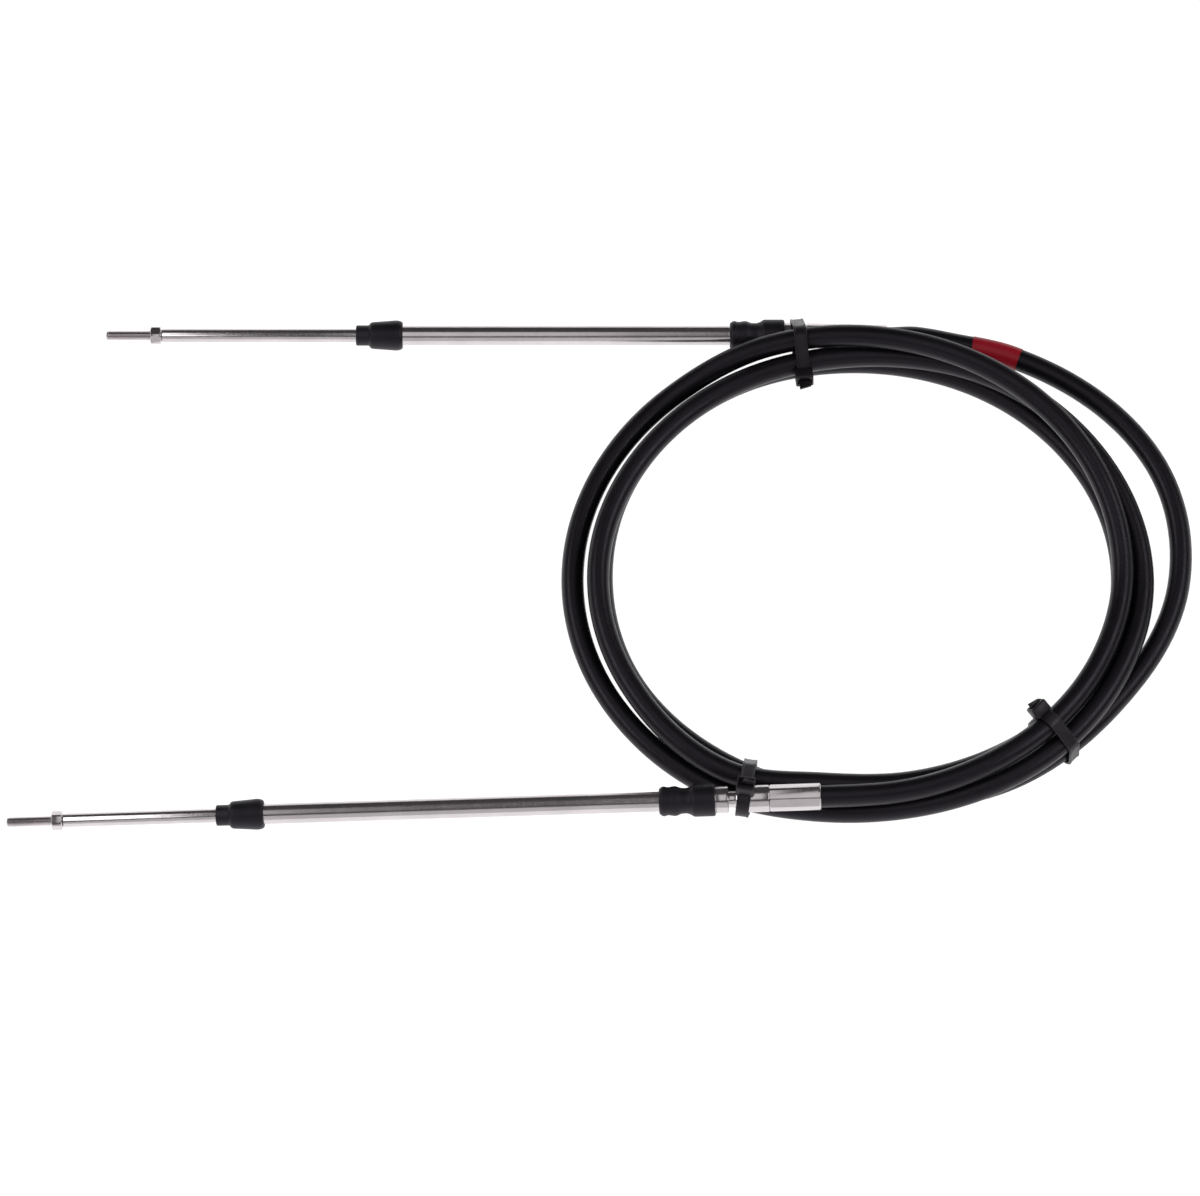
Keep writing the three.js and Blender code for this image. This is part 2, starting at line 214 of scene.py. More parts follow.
def tieMaterial():
    # pressed nylon, shinier than the rubber
    material = plainMaterial("tieNylon", (0.009, 0.0076, 0.0086), 0.4, specular=0.4, tint=violet)
    pressed = addPattern(material, 220)
    varyColour(material, pressed, (0.006, 0.005, 0.006), (0.012, 0.0102, 0.0112))
    varyRoughness(material, pressed, 0.32, 0.48)
    addBump(material, pressed, 0.1, 0.0003)
    return material


def bandMaterial():
    # shrunk plastic film
    material = plainMaterial("markerRed", (0.42, 0.008, 0.022), 0.4, specular=0.3)
    film = addPattern(material, 120)
    varyColour(material, film, (0.36, 0.006, 0.018), (0.48, 0.01, 0.026))
    varyRoughness(material, film, 0.34, 0.46)
    addBump(material, film, 0.08, 0.0002)
    return material


jacketBlack = jacketMaterial()
bootRubber = bootMaterial()
tieNylon = tieMaterial()
markerRed = bandMaterial()
print("materials done")

# Camera at the photograph's viewing angle, 20 degrees from straight down

view = {"tilt": 20, "place": (-0.001748, -1.385906, 3.77277), "lens": 206.9, "sensor": 36, "farthest": 20}
tidySelection()
bpy.ops.object.camera_add(location=view["place"], rotation=(math.radians(view["tilt"]), 0, 0))
camera = bpy.context.object
camera.data.lens = view["lens"]
camera.data.sensor_width = view["sensor"]
camera.data.clip_end = view["farthest"]
bpy.context.scene.camera = camera

# Ends: where each swivel's ball is, and how its rod and its hub lie

ballSetback = 2.5  # from the ball's centre to the front of the hub
ends = {
    "a": {"ball": (99.652, 148.175, 9.8), "rodTurn": 0, "rodRise": 0, "hubTurn": -1.4, "hubRise": 0,
          "sleeveShown": 192, "exposure": 114.5, "nutRoll": 50},
    "b": {"ball": (57.052, -146.325, 29.2), "rodTurn": 0.7, "rodRise": 3.63, "hubTurn": 0.9, "hubRise": 3,
          "sleeveShown": 226.5, "exposure": 88.5, "nutRoll": 20},
}


def axisPlace(end, turn, rise):
    turned = Matrix.Rotation(math.radians(turn), 4, "Z") @ Matrix.Rotation(-math.radians(rise), 4, "Y")
    return Matrix.Translation(Vector(end["ball"]) * mm) @ turned


def onRod(piece, end):
    piece.matrix_world = axisPlace(end, end["rodTurn"], end["rodRise"]) @ piece.matrix_world
    bakePlace(piece)


def onHub(piece, end):
    piece.matrix_world = axisPlace(end, end["hubTurn"], end["hubRise"]) @ piece.matrix_world
    bakePlace(piece)


hub = {"noseLength": 10, "noseDiameter": 15.2, "ringLength": 7, "ringDiameter": 15.6, "grooveLength": 5.5,
       "grooveDiameter": 9.5, "bodyLength": 18, "bodyDiameter": 15.6, "crimpLength": 29.5,
       "crimpDiameter": 15.4, "acrossFlats": 14.6, "flats": 8, "rimDiameter": 15, "rimLength": 1.2,
       "skirtBore": 6.75, "skirtBoreDepth": 4, "socketDiameter": 13.8}
ringFace = hub["noseLength"] - ballSetback
hubEnd = ringFace + hub["ringLength"] + hub["grooveLength"] + hub["bodyLength"] + hub["crimpLength"]

# Conduit: rows of degrees turned clockwise from +X, distance outside the inner oval, height, in mm

coil = {"centre": (150.252, -3.825), "halfLength": 144, "halfWidth": 126, "base": 2, "diameter": 13,
        "step": 2, "leadPoints": 8, "roundness": 6}
lay = [
    (-78, 27.5, 8.5), (-70, 29.5, 7), (-60, 34.5, 6.5), (-25, 46, 6.5), (0, 41, 6.5), (30, 24.5, 6.5),
    (60, 17.5, 6.5), (90, 9, 6.5), (120, 8, 6.5), (150, 8, 6.5), (180, 7, 6.5), (210, 9, 6.5),
    (240, 11, 6.5), (270, 9.5, 6.5), (300, 9, 6.5), (330, 8, 6.5), (360, 7.5, 6.5), (390, 6.5, 6.5),
    (420, 3.5, 10.5), (440, 5, 19), (460, 6, 20), (480, 15, 19), (510, 12, 19.5), (540, 9, 20),
    (570, 6.5, 20), (600, 7, 19.5), (630, 8, 20), (660, 13, 20), (690, 16, 17.5), (720, 19, 14),
    (745, 19, 18.5), (770, 20, 20.5), (800, 19.5, 18.5), (820, 20, 12.5), (840, 23.5, 7),
    (870, 24.5, 7), (900, 24, 6.5), (930, 23.5, 7), (950, 24, 7.5), (970, 22, 20.5), (1000, 14, 34),
    (1030, 10.5, 32.5), (1055, 8, 27.5), (1080, 7, 20.5), (1105, 6.5, 23.5), (1135, 9.5, 30),
    (1160, 13, 30.5), (1170, 14.5, 31),
]


def between(rows, column, at):
    i = 0
    while i < len(rows) - 2 and rows[i + 1][0] < at:
        i += 1

    def slope(j):
        before, after = rows[max(j - 1, 0)], rows[min(j + 1, len(rows) - 1)]
        return (after[column] - before[column]) / (after[0] - before[0])

    span = rows[i + 1][0] - rows[i][0]
    t = (at - rows[i][0]) / span
    return ((2 * t**3 - 3 * t**2 + 1) * rows[i][column] + (t**3 - 2 * t**2 + t) * span * slope(i)
            + (3 * t**2 - 2 * t**3) * rows[i + 1][column] + (t**3 - t**2) * span * slope(i + 1))


def layPoint(degrees):
    outside = between(lay, 1, degrees)
    angle = math.radians(degrees)
    return Vector((coil["centre"][0] + (coil["halfLength"] + outside) * math.cos(angle),
                   coil["centre"][1] - (coil["halfWidth"] + outside) * math.sin(angle),
                   coil["base"] + between(lay, 2, degrees))) * mm


def leadIn(start, course, arrival, arrivalCourse, count):
    # a smooth run from the hub's face to the first or last row
    reach = (arrival - start).length
    points = []
    for i in range(count):
        t = i / count
        points.append((2 * t**3 - 3 * t**2 + 1) * start + (t**3 - 2 * t**2 + t) * reach * course
                      + (3 * t**2 - 2 * t**3) * arrival + (t**3 - t**2) * reach * arrivalCourse)
    return points


def hubMouth(end):
    place = axisPlace(end, end["hubTurn"], end["hubRise"])
    course = (place.to_3x3() @ Vector((1, 0, 0))).normalized()
    return place @ Vector(((hubEnd + gap) * mm, 0, 0)), course


def coilRoute():
    first, last, step = lay[0][0], lay[-1][0], coil["step"]
    mouthA, courseA = hubMouth(ends["a"])
    mouthB, courseB = hubMouth(ends["b"])
    turns = [layPoint(first + step * i) for i in range(int((last - first) / step) + 1)]
    leadA = leadIn(mouthA, courseA, turns[0], (turns[1] - turns[0]).normalized(), coil["leadPoints"])
    leadB = leadIn(mouthB, courseB, turns[-1], (turns[-2] - turns[-1]).normalized(), coil["leadPoints"])
    return leadA + turns + leadB[::-1]


def tubeAlong(name, points, radius):
    line = bpy.data.curves.new(name, "CURVE")
    line.dimensions = "3D"
    line.bevel_depth = radius
    line.bevel_resolution = coil["roundness"]
    line.use_fill_caps = True
    spline = line.splines.new("POLY")
    spline.points.add(len(points) - 1)
    for target, point in zip(spline.points, points):
        target.co = (*point, 1)
    tube = bpy.data.objects.new(name, line)
    bpy.context.scene.collection.objects.link(tube)
    pick(tube)
    bpy.ops.object.convert(target="MESH")
    return bpy.context.object


route = coilRoute()
conduit = tubeAlong("conduit", route, coil["diameter"] / 2 * mm)
smooth(conduit, 50)
finishPiece(conduit, "conduitJacket", "coil", jacketBlack, "conduit_jacket", "conduit")

# Marker band: a thin sleeve that follows the conduit

band = {"from": -67.5, "to": -58.2, "radius": 6.85, "steps": 10, "edge": 0.15}


def makeBand():
    span = (band["to"] - band["from"]) / band["steps"]
    points = [layPoint(band["from"] + span * i) for i in range(band["steps"] + 1)]
    sleeve = tubeAlong("markerBand", points, band["radius"] * mm)
    applyModifier(sleeve, "BEVEL", width=band["edge"] * mm, segments=2, limit_method="ANGLE")
    smooth(sleeve, 40)
    return sleeve


finishPiece(makeBand(), "markerBand", "coil", markerRed, "marker_red", "marker_band")
print("marker band done")

# Turned pieces: a ring is added at the first step of the outline and extruded from step to step


def turnPiece(outline, sides=72):
    tidySelection()
    along, radius = outline[0]
    bpy.ops.mesh.primitive_circle_add(vertices=sides, radius=max(radius, axisRadius) * mm,
                                      location=(along * mm, 0, 0), rotation=(0, math.pi / 2, 0),
                                      fill_type="NOTHING" if radius else "NGON")
    piece = bpy.context.object
    bakePlace(piece)
    bpy.ops.object.mode_set(mode="EDIT")
    bpy.ops.mesh.select_all(action="SELECT")
    for (fromAlong, fromRadius), (toAlong, toRadius) in zip(outline, outline[1:]):
        growth = max(toRadius, axisRadius) / max(fromRadius, axisRadius)
        bpy.ops.mesh.extrude_region_move(
            TRANSFORM_OT_translate={"value": ((toAlong - fromAlong) * mm, 0, 0)})
        bpy.ops.transform.resize(value=(1, growth, growth), center_override=(toAlong * mm, 0, 0))
    if not outline[-1][1]:
        bpy.ops.mesh.edge_face_add()
    bpy.ops.object.mode_set(mode="OBJECT")
    outward(piece)
    return piece


def arc(size, start, end, steps):
    points = []
    for i in range(steps + 1):
        angle = math.radians(start + (end - start) * i / steps)
        points.append((size * math.cos(angle), size * math.sin(angle)))
    return points


bellows = {"length": 32.2, "hump": 8.6, "waist": 7.3, "cuff": 9.4, "cuffLength": 12.6, "sleeveBore": 6.0,
           "noseBore": 7.8, "bendFrom": -1, "bendTo": -14}
bellowsRear = ringFace - gap
bellowsFront = bellowsRear - bellows["length"]


def makeBellows():
    x, hump, waist, cuff = bellowsFront, bellows["hump"], bellows["waist"], bellows["cuff"]
    cuffFront = bellowsRear - bellows["cuffLength"]
    return turnPiece([
        (x, bellows["sleeveBore"]), (x, hump - 1.7), (x + 0.25, hump - 1.25), (x + 0.9, hump - 0.7),
        (x + 1.7, hump - 0.22), (x + 2.6, hump), (x + 3.4, hump - 0.12), (x + 4.2, hump - 0.42),
        (x + 5.1, hump - 0.52), (x + 6, hump - 0.46), (x + 7.4, hump - 0.18), (x + 8.8, hump - 0.02),
        (x + 9.8, hump - 0.1), (x + 11, hump - 0.55), (x + 12.2, hump - 1.05), (x + 13.4, waist + 0.08),
        (x + 14.6, waist), (x + 15.8, waist + 0.06), (x + 17, waist + 0.4), (x + 18.2, waist + 0.95),
        (cuffFront - 0.5, cuff - 0.55), (cuffFront + 0.2, cuff - 0.15), (cuffFront + 1.1, cuff),
        (bellowsRear - 1.4, cuff), (bellowsRear - 0.6, cuff - 0.18), (bellowsRear - 0.15, cuff - 0.6),
        (bellowsRear, cuff - 1.2), (bellowsRear, bellows["noseBore"]),
        (-ballSetback - gap, bellows["noseBore"]), (-ballSetback - gap, bellows["sleeveBore"]),
        (x, bellows["sleeveBore"]),
    ])


sleeve = {"radius": 5.8, "ball": 6.6, "bore": 4.25, "boreEnd": -14, "chamfer": 0.4}
axisDegrees = 0.5  # where an arc stops short of the axis


def makeSleeve(front):
    neck = math.degrees(math.atan2(sleeve["radius"], -math.sqrt(sleeve["ball"]**2 - sleeve["radius"]**2)))
    ball = [(a, max(r, 0)) for a, r in arc(sleeve["ball"], neck, axisDegrees, 14)]
    return turnPiece([
        (sleeve["boreEnd"], 0), (sleeve["boreEnd"], sleeve["bore"]), (front, sleeve["bore"]),
        (front, sleeve["radius"] - sleeve["chamfer"]), (front + sleeve["chamfer"], sleeve["radius"]),
        *ball, (sleeve["ball"], 0),
    ])


wiper = {"length": 28, "rodBore": 4.25, "sleeveBore": 6.1, "collar": 6, "collarLength": 7.6, "lip": 8.9,
         "frontWall": 8}


def makeWiper():
    w, collar, lip, length = wiper, wiper["collar"], wiper["lip"], wiper["length"]
    return turnPiece([
        (0.5, w["rodBore"]), (0, w["rodBore"] + 0.5), (0, collar - 0.7), (0.2, collar - 0.25), (0.7, collar),
        (w["collarLength"] - 0.4, collar), (w["collarLength"] + 0.2, collar + 0.35),
        (w["collarLength"] + 0.9, collar + 1.35), (w["collarLength"] + 1.7, collar + 1.8),
        (w["collarLength"] + 3.2, collar + 2.0), (length * 0.5, collar + 2.2), (length * 0.62, collar + 2.45),
        (length * 0.74, lip - 0.2), (length * 0.82, lip), (length * 0.88, lip - 0.05),
        (length * 0.93, lip - 0.35), (length * 0.965, lip - 0.85), (length * 0.98, lip - 1.4),
        (length - 0.7, lip - 1.9), (length - 1.2, w["sleeveBore"] + 0.2), (length - 1.3, w["sleeveBore"]),
        (w["frontWall"], w["sleeveBore"]), (w["frontWall"], w["rodBore"]), (0.5, w["rodBore"]),
    ])


rod = {"radius": 3.95, "length": 190, "shoulder": 0.6, "threadRadius": 3.0, "rootRadius": 2.42, "pitch": 1.0,
       "threadLength": 32.5, "threadSides": 32, "tipChamfer": 0.9}


def makeThread(tip):
    # one tooth is wound along the rod, and its crests are cut back at the tip
    r = rod
    tidySelection()
    bpy.ops.mesh.primitive_plane_add(size=1)
    thread = bpy.context.object
    shape = bmesh.new()
    tooth = [(0, r["rootRadius"]), (0.12, r["rootRadius"]), (0.44, r["threadRadius"]),
             (0.56, r["threadRadius"]), (0.88, r["rootRadius"]), (1, r["rootRadius"])]
    corners = [shape.verts.new(((tip + along * r["pitch"]) * mm, 0, high * mm)) for along, high in tooth]
    for one, other in zip(corners, corners[1:]):
        shape.edges.new((one, other))
    shape.to_mesh(thread.data)
    shape.free()
    applyModifier(thread, "SCREW", axis="X", screw_offset=r["pitch"] * mm, steps=r["threadSides"],
                  render_steps=r["threadSides"],
                  iterations=int(r["threadLength"] / r["pitch"]) - 1, use_merge_vertices=True,
                  merge_threshold=0.000002)
    for vertex in thread.data.vertices:
        high = math.hypot(vertex.co.y, vertex.co.z)
        limit = (r["threadRadius"] - r["tipChamfer"]) * mm + max(vertex.co.x - tip * mm, 0)
        if high > max(limit, r["rootRadius"] * mm):
            cut = max(limit, r["rootRadius"] * mm) / high
            vertex.co.y *= cut
            vertex.co.z *= cut
    outward(thread)
    return thread


def makeRod(wiperFront, exposure):
    r = rod
    shoulder = wiperFront - exposure
    tip = shoulder - r["threadLength"]
    body = turnPiece([
        (tip, 0), (tip, r["rootRadius"] - 0.5), (tip + 0.5, r["rootRadius"]), (shoulder, r["rootRadius"]),
        (shoulder, r["radius"] - r["shoulder"]), (shoulder + 0.25, r["radius"] - 0.2),
        (shoulder + r["shoulder"], r["radius"]), (shoulder + r["length"] - 0.6, r["radius"]),
        (shoulder + r["length"], r["radius"] - 0.6), (shoulder + r["length"], 0),
    ])
    smooth(body)
    thread = makeThread(tip)
    smooth(thread, 25)
    return joined(body, thread)


nut = {"acrossFlats": 10, "thickness": 6.2, "corner": 5.52, "face": 4.75, "shoulder": 5.17, "chamfer": 0.85,
       "bore": 3.15, "countersink": 0.5, "edge": 0.08}


def makeNut():
    n = nut
    thick, chamfer, countersink = n["thickness"], n["chamfer"], n["countersink"]
    tidySelection()
    bpy.ops.mesh.primitive_cylinder_add(vertices=6, radius=n["acrossFlats"] / 2 / math.cos(math.pi / 6) * mm,
                                        depth=thick * mm, location=(thick / 2 * mm, 0, 0),
                                        rotation=(0, math.pi / 2, 0))
    hexagon = bpy.context.object
    bakePlace(hexagon)
    dome = turnPiece([(0, 0), (0, n["face"]), (chamfer * 0.4, n["shoulder"]), (chamfer, n["corner"]),
                      (thick - chamfer, n["corner"]), (thick - chamfer * 0.4, n["shoulder"]),
                      (thick, n["face"]), (thick, 0)], 96)
    bore = turnPiece([(-1, 0), (-1, n["bore"] + 1), (countersink, n["bore"]),
                      (thick - countersink, n["bore"]), (thick + 1, n["bore"] + 1), (thick + 1, 0)], 48)
    applyModifier(hexagon, "BOOLEAN", operation="INTERSECT", object=dome, solver="EXACT")
    applyModifier(hexagon, "BOOLEAN", operation="DIFFERENCE", object=bore, solver="EXACT")
    for helper in (dome, bore):
        bpy.data.objects.remove(helper)
    applyModifier(hexagon, "BEVEL", width=n["edge"] * mm, segments=2, limit_method="ANGLE", angle_limit=0.5)
    return hexagon


def makeSkirt():
    # a turned skirt pressed to flats, with a round rim at its end
    h = hub
    length, crimp, rim = h["crimpLength"], h["crimpDiameter"] / 2, h["rimDiameter"] / 2
    boreEnd, rimStart = length - h["skirtBoreDepth"], length - h["rimLength"]
    skirt = turnPiece([(0, 0), (0, crimp - 0.8), (0.3, crimp - 0.3), (0.9, crimp), (length - 0.5, crimp),
                       (length, crimp - 0.5), (length, h["skirtBore"]), (boreEnd, h["skirtBore"]),
                       (boreEnd, 0)])
    tidySelection()
    halfFlat = math.pi / h["flats"]
    corner = h["acrossFlats"] / 2 / math.cos(halfFlat)
    bpy.ops.mesh.primitive_cylinder_add(vertices=h["flats"], radius=corner * mm, depth=(length + 2) * mm,
                                        location=(length / 2 * mm, 0, 0), rotation=(0, math.pi / 2, 0))
    die = bpy.context.object
    bakePlace(die)
    die.rotation_euler.x = halfFlat
    bakePlace(die)
    applyModifier(skirt, "BOOLEAN", operation="INTERSECT", object=die, solver="EXACT")
    bpy.data.objects.remove(die)
    lip = turnPiece([(rimStart, h["skirtBore"]), (rimStart, rim - 0.25), (rimStart + 0.2, rim),
                     (length - 0.25, rim), (length, rim - 0.25), (length, h["skirtBore"]),
                     (rimStart, h["skirtBore"])])
    return joined(skirt, lip)


def makeHub():
    h = hub
    nose, ring, groove, body = (h["noseDiameter"] / 2, h["ringDiameter"] / 2, h["grooveDiameter"] / 2,
                                h["bodyDiameter"] / 2)
    grooveFace = ringFace + h["ringLength"]
    bodyFace = grooveFace + h["grooveLength"]
    crimpFace = bodyFace + h["bodyLength"]
    socket = h["socketDiameter"] / 2
    mouth = math.degrees(math.acos(-ballSetback / socket))
    pocket = arc(socket, axisDegrees, mouth, 12)
    front = turnPiece([
        (socket, 0), *pocket, (-ballSetback, nose - 0.7), (-ballSetback + 0.2, nose - 0.2),
        (-ballSetback + 0.7, nose), (ringFace, nose), (ringFace, ring - 0.4), (ringFace + 0.12, ring - 0.12),
        (ringFace + 0.4, ring), (grooveFace - 0.4, ring), (grooveFace - 0.12, ring - 0.12),
        (grooveFace, ring - 0.4), (grooveFace, groove + 0.5), (grooveFace + 0.15, groove + 0.15),
        (grooveFace + 0.5, groove), (bodyFace - 1.1, groove), (bodyFace - 0.4, groove + 0.3),
        (bodyFace, groove + 1.0), (bodyFace, body - 0.7), (bodyFace + 0.2, body - 0.2),
        (bodyFace + 0.7, body),
        (crimpFace - 0.35, body), (crimpFace - 0.1, body - 0.12), (crimpFace, body - 0.4),
        (crimpFace, h["acrossFlats"] / 2 - 1), (crimpFace, 0),
    ])
    smooth(front, 30)
    skirt = makeSkirt()
    skirt.location.x = crimpFace * mm
    bakePlace(skirt)
    smooth(skirt, 20)
    return joined(front, skirt)


for name, end in ends.items():
    upper = name.upper()
    steelRod = steelMaterial("steelRod" + upper, end["rodRise"], end["rodTurn"])
    steelHub = steelMaterial("steelHub" + upper, end["hubRise"], end["hubTurn"])
    wiperRear = bellowsFront - end["sleeveShown"]
    wiperFront = wiperRear - wiper["length"]

    tube = makeSleeve(wiperFront + wiper["frontWall"] + gap)
    smooth(tube)
    onRod(tube, end)
    finishPiece(tube, "slidingSleeve" + upper, "sleeve_end_" + name, steelRod, "stainless", "sleeve_" + name)

    boot = makeWiper()
    boot.location.x = wiperFront * mm
    bakePlace(boot)
    smooth(boot, 50)
    onRod(boot, end)
    finishPiece(boot, "wiperBoot" + upper, "sleeve_end_" + name, bootRubber, "boot_rubber",
                "wiper_boot_" + name)

    shaft = makeRod(wiperFront, end["exposure"])
    onRod(shaft, end)
    finishPiece(shaft, "threadedRod" + upper, "rod_end_" + name, steelRod, "stainless", "rod_" + name)

    lock = makeNut()
    smooth(lock, 20)
    lock.rotation_euler.x = math.radians(end["nutRoll"])
    lock.location.x = (wiperFront - end["exposure"] - gap - nut["thickness"]) * mm
    bakePlace(lock)
    onRod(lock, end)
    finishPiece(lock, "jamNut" + upper, "rod_end_" + name, steelRod, "stainless", "jam_nut_" + name)

    fitting = makeHub()
    onHub(fitting, end)
    finishPiece(fitting, "crimpedHub" + upper, "coil", steelHub, "stainless", "hub_" + name)

    swivel = makeBellows()
    smooth(swivel, 50)
    onRod(swivel, end)
    dressPiece(swivel, "swivelBoot" + upper, bootRubber, "boot_rubber", "swivel_boot_" + name)
    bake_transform(swivel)
    print("end", name, "done")

# Cable ties: a strap swept round what it holds, a head with its slot, and a cut tail

ties = {
    "a": {"centre": (115.752, 137.175), "turn": 5.3, "hub": "a", "reach": 30, "headAt": 160,
          "tail": 5.5, "lean": 0},
    "b": {"centre": (259.552, -102.825), "turn": 46, "hub": None, "reach": 40, "headAt": 30,
          "tail": 3, "lean": 0},
    "c": {"centre": (81.252, -141.825), "turn": -8.5, "hub": "b", "reach": 34, "headAt": 75,
          "tail": 4.5, "lean": 20},
}
strap = {"width": 7.6, "thickness": 1.6, "slack": 0.4, "corner": 0.3, "ridge": 1, "recess": 0.25,
         "tailWidth": 6.8, "tailThickness": 1.3, "tailRoot": 3, "tailEdge": 0.2, "cut": 1.8, "ribPitch": 1.1,
         "ribHeight": 0.3, "firstRib": 0.3, "ribEdge": 0.1}
head = {"width": 10.4, "length": 9, "height": 7.5, "edge": 1, "slotWidth": 8.4, "slotLength": 4.2,
        "slotDepth": 1.4, "pawlHeight": 1.2, "pawlLength": 1, "pawlSide": 1.5, "pawlEdge": 0.2}
circleSteps = 72
leastStep = 0.2  # between the points of a strap's path, in mm


def tieCircles(tie, along, across, centre):
    # what the tie goes round, as (across, up, radius) at its middle and at both edges of its strap
    circles = []

    def crossing(start, finish, radius):
        for edge in (-strap["width"] / 2, 0, strap["width"] / 2):
            before = (start - centre).dot(along) - edge * mm
            after = (finish - centre).dot(along) - edge * mm
            if before * after > 0:
                continue
            at = start.lerp(finish, before / (before - after))
            side = (at - centre).dot(across) / mm
            if abs(side) < tie["reach"]:
                circles.append((side, at.z / mm, radius))

    for one, other in zip(route, route[1:]):
        crossing(one, other, coil["diameter"] / 2)
    if tie["hub"]:
        end = ends[tie["hub"]]
        place = axisPlace(end, end["hubTurn"], end["hubRise"])
        crossing(place @ Vector((ringFace * mm, 0, 0)), hubMouth(end)[0], hub["ringDiameter"] / 2)
    return circles


def tautOutline(circles, offset):
    # the shortest closed line round all the circles, at an offset from them
    points = []
    for x, y, radius in circles:
        for i in range(circleSteps):
            angle = 2 * math.pi * i / circleSteps
            points.append((x + (radius + offset) * math.cos(angle), y + (radius + offset) * math.sin(angle)))
    points.sort()

    def turnsLeft(one, two, three):
        return ((two[0] - one[0]) * (three[1] - one[1]) - (two[1] - one[1]) * (three[0] - one[0])) > 0

    def half(ordered):
        chain = []
        for point in ordered:
            while len(chain) > 1 and not turnsLeft(chain[-2], chain[-1], point):
                chain.pop()
            chain.append(point)
        return chain[:-1]

    outline = half(points) + half(points[::-1])
    kept = [outline[0]]
    for point in outline[1:]:
        if math.dist(point, kept[-1]) > leastStep:
            kept.append(point)
    return kept


def flatCurve(name, points):
    line = bpy.data.curves.new(name, "CURVE")
    line.dimensions = "2D"
    line.fill_mode = "NONE"
    spline = line.splines.new("POLY")
    spline.points.add(len(points) - 1)
    for target, (x, y) in zip(spline.points, points):
        target.co = (x * mm, y * mm, 0, 1)
    spline.use_cyclic_u = True
    curve = bpy.data.objects.new(name, line)
    bpy.context.scene.collection.objects.link(curve)
    return curve


def makeStrap(path):
    s = strap
    wide, thick = s["width"] / 2, s["thickness"] / 2
    side = [(thick - s["corner"], -wide), (thick, s["corner"] - wide), (thick, s["ridge"] - wide),
            (thick - s["recess"], s["ridge"] + s["corner"] - wide),
            (thick - s["recess"], wide - s["ridge"] - s["corner"]),
            (thick, wide - s["ridge"]), (thick, wide - s["corner"]), (thick - s["corner"], wide)]
    profile = flatCurve("strapProfile", side + [(-x, -y) for x, y in side])
    loop = flatCurve("strapLoop", path)
    loop.data.bevel_mode = "OBJECT"
    loop.data.bevel_object = profile
    pick(loop)
    bpy.ops.object.convert(target="MESH")
    loop = bpy.context.object
    bpy.data.objects.remove(profile)
    outward(loop)
    smooth(loop, 25)
    return loop


def boxAt(size, place, edge=0.0):
    tidySelection()
    bpy.ops.mesh.primitive_cube_add(size=1, location=[value * mm for value in place],
                                    scale=[value * mm for value in size])
    box = bpy.context.object
    bakePlace(box)
    if edge:
        applyModifier(box, "BEVEL", width=edge * mm, segments=3, limit_method="ANGLE")
    return box


def makeHead(tie):
    # the strap's middle is at 0 and the head stands out from it along +X
    s, h = strap, head
    top = h["height"] - s["thickness"] / 2
    block = boxAt((h["height"], h["length"], h["width"]), (top - h["height"] / 2, 0, 0), h["edge"])
    slot = boxAt((2 * h["slotDepth"], h["slotLength"], h["slotWidth"]), (top, 0, 0))
    applyModifier(block, "BOOLEAN", operation="DIFFERENCE", object=slot, solver="EXACT")
    bpy.data.objects.remove(slot)
    root, tip = top - s["tailRoot"], top + tie["tail"]
    tail = boxAt((tip - root, s["tailThickness"], s["tailWidth"]), ((root + tip) / 2, 0, 0))
    for vertex in tail.data.vertices:
        if vertex.co.x > top * mm and vertex.co.z > 0:
            vertex.co.x -= s["cut"] * mm
    applyModifier(tail, "BEVEL", width=s["tailEdge"] * mm, segments=2, limit_method="ANGLE")
    ribs = [boxAt((s["ribPitch"] * 0.5, s["ribHeight"] * 2, s["tailWidth"] * 0.7),
                  (top + s["firstRib"] + s["ribPitch"] * i, s["tailThickness"] / 2, 0), s["ribEdge"])
            for i in range(int((tie["tail"] - s["cut"]) / s["ribPitch"]))]
    pawl = boxAt((h["pawlHeight"], h["pawlLength"], h["slotWidth"] * 0.6),
                 (top - h["slotDepth"], h["pawlSide"], 0), h["pawlEdge"])
    tail = joined(tail, *ribs)
    foot = Matrix.Translation(Vector((root * mm, 0, 0)))
    tail.matrix_world = foot @ Matrix.Rotation(-math.radians(tie["lean"]), 4, "Y") @ foot.inverted()
    bakePlace(tail)
    block = joined(block, tail, pawl)
    smooth(block, 30)
    return block


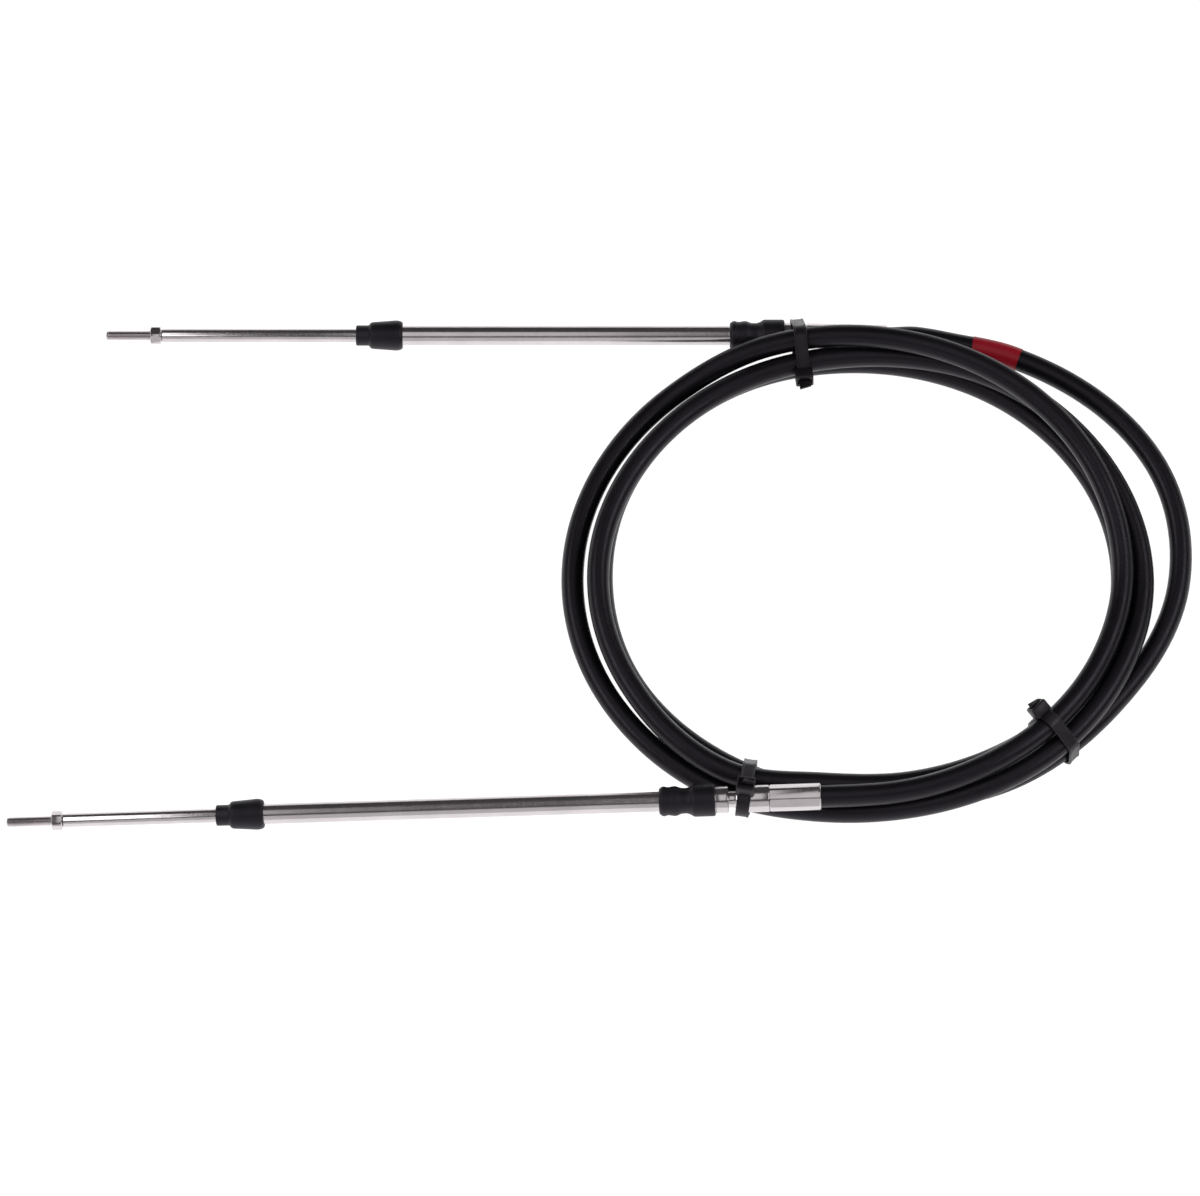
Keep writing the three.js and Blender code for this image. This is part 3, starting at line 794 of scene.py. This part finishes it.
def makeTie(tie):
    turn, headAt = math.radians(tie["turn"]), math.radians(tie["headAt"])
    along = Vector((math.cos(turn), math.sin(turn), 0))
    across = Vector((-along.y, along.x, 0))
    centre = Vector((*tie["centre"], 0)) * mm
    path = tautOutline(tieCircles(tie, along, across, centre), strap["slack"] + strap["thickness"] / 2)
    loop = makeStrap(path)
    seat = max(path, key=lambda point: point[0] * math.cos(headAt) + point[1] * math.sin(headAt))
    block = makeHead(tie)
    block.matrix_world = Matrix.Translation(Vector((*seat, 0)) * mm) @ Matrix.Rotation(headAt, 4, "Z")
    bakePlace(block)
    whole = joined(loop, block)
    whole.matrix_world = Matrix.Translation(centre) @ Matrix((across, (0, 0, 1), along)).transposed().to_4x4()
    bakePlace(whole)
    return whole


for name, tie in ties.items():
    finishPiece(makeTie(tie), "cableTie" + name.upper(), "coil", tieNylon, "tie_nylon", "cable_tie_" + name)
print("cable ties done")

# Floor and soft studio light: brightness is the radiance of each panel

bpy.context.scene.view_settings.view_transform = "Standard"
floorWhite = plainMaterial("floorWhite", (0.3, 0.3, 0.3), 0.7, specular=0.1)
nodesOf(floorWhite)[2].inputs["Emission Color"].default_value = (1, 1, 1, 1)
nodesOf(floorWhite)[2].inputs["Emission Strength"].default_value = 1
tidySelection()
bpy.ops.mesh.primitive_plane_add(size=8, location=(0, 0, -0.0002))
floor = bpy.context.object
floor.name = "floor"
floor.data.materials.append(floorWhite)

world = bpy.data.worlds.new("studio")
bpy.context.scene.world = world
world.use_nodes = True
world.node_tree.nodes["Background"].inputs["Color"].default_value = (1, 0.95, 0.98, 1)
world.node_tree.nodes["Background"].inputs["Strength"].default_value = 0.06

softboxes = {
    "overhead": {"place": (0, -0.22, 2.6), "aim": (0, -0.22, 0), "size": (1.5, 2.3), "brightness": 0.72},
    "front": {"place": (0, -2.6, 1.35), "aim": (0, 0, 1.35), "size": (5, 2.5), "brightness": 0.6},
    "left": {"place": (-2, 0, 2), "aim": (0, 0, 0), "size": (2.4, 0.9), "brightness": 3},
    "right": {"place": (2, 0, 2), "aim": (0, 0, 0), "size": (2.4, 0.9), "brightness": 3},
}
for name, box in softboxes.items():
    aim = Vector(box["aim"]) - Vector(box["place"])
    tidySelection()
    bpy.ops.object.light_add(type="AREA", location=box["place"],
                             rotation=aim.to_track_quat("-Z", "Y").to_euler())
    lamp = bpy.context.object
    lamp.name = name
    lamp.data.shape = "RECTANGLE"
    lamp.data.size, lamp.data.size_y = box["size"]
    lamp.data.energy = box["brightness"] * math.pi * box["size"][0] * box["size"][1]
print("studio done")
